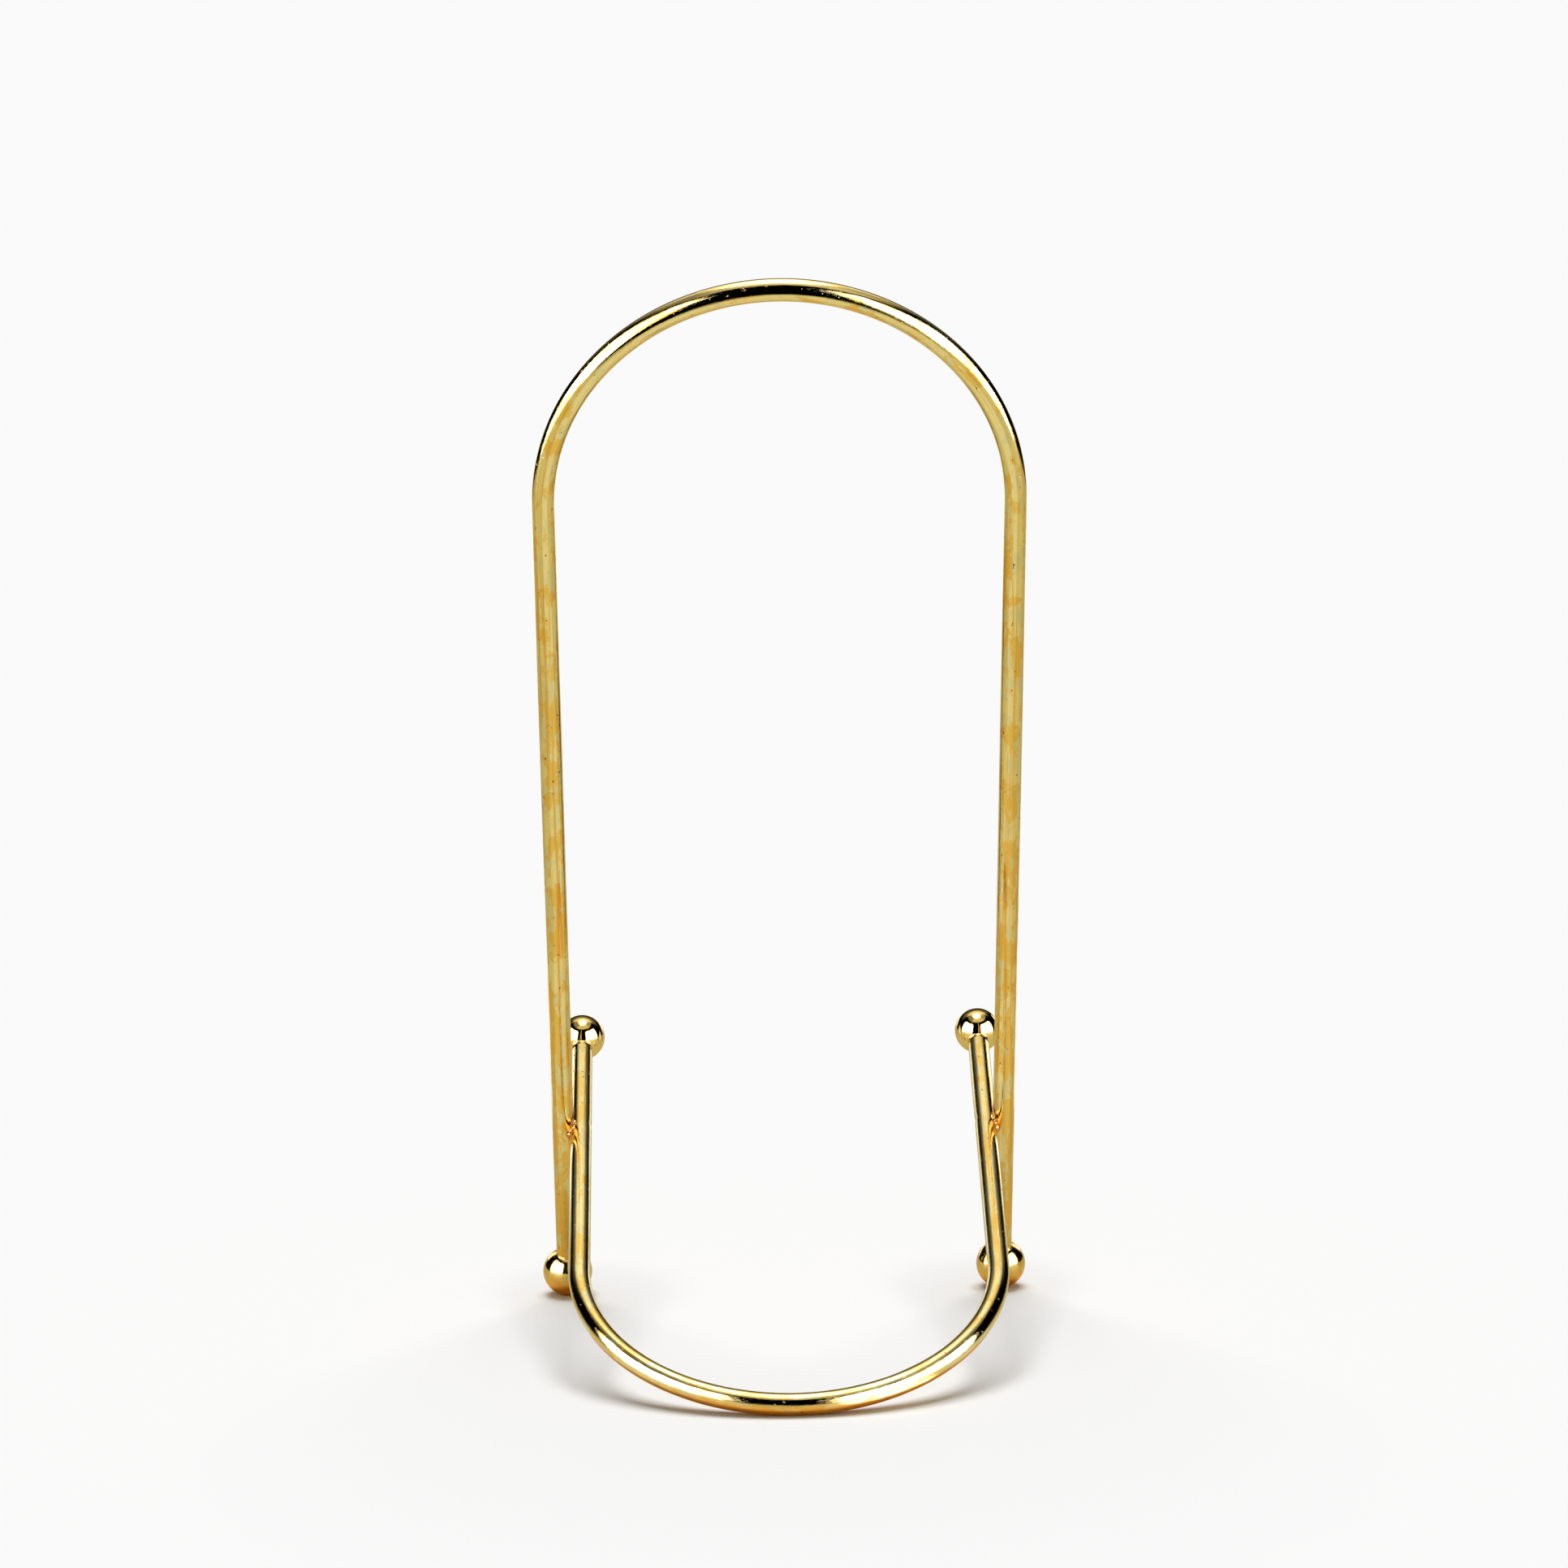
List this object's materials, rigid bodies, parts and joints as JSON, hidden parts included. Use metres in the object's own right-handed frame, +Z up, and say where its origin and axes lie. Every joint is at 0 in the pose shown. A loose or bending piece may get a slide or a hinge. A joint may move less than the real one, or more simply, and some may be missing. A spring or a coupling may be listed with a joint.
{
  "type": "display easel",
  "caption": "Gold tabletop easel: a tall leaning rod hoop on ball feet, crossed by a short hoop whose ball-tipped prongs hold a wreath, plate or picture.",
  "frame": {"origin": "on the table, below the middle of the object's box", "axes": "+Z up; +X across, from the left hoop legs to the right ones as seen from -Y; +Y towards the prongs, the side that the displayed item faces; -Y towards the closed end of the prop hoop, the side that the picture was taken from"},
  "size_m": [0.138, 0.159, 0.2982],
  "materials": {
    "back_hoop": "polished gold plate, faintly mottled and scratched",
    "prop_hoop": "polished gold plate with fine scratches along the rod",
    "foot_balls": "mirror-polished gold plate",
    "prong_balls": "mirror-polished gold plate",
    "joints": "gold plate over rough weld metal"
  },
  "bodies": {
    "root": {"back_hoop": "back_hoop", "prop_hoop": "prop_hoop", "left_foot_ball": "foot_balls", "right_foot_ball": "foot_balls", "left_prong_ball": "prong_balls", "right_prong_ball": "prong_balls", "left_cross_weld": "joints", "right_cross_weld": "joints", "left_foot_fillet": "joints", "right_foot_fillet": "joints", "left_prong_fillet": "joints", "right_prong_fillet": "joints"}
  },
  "joints": []
}
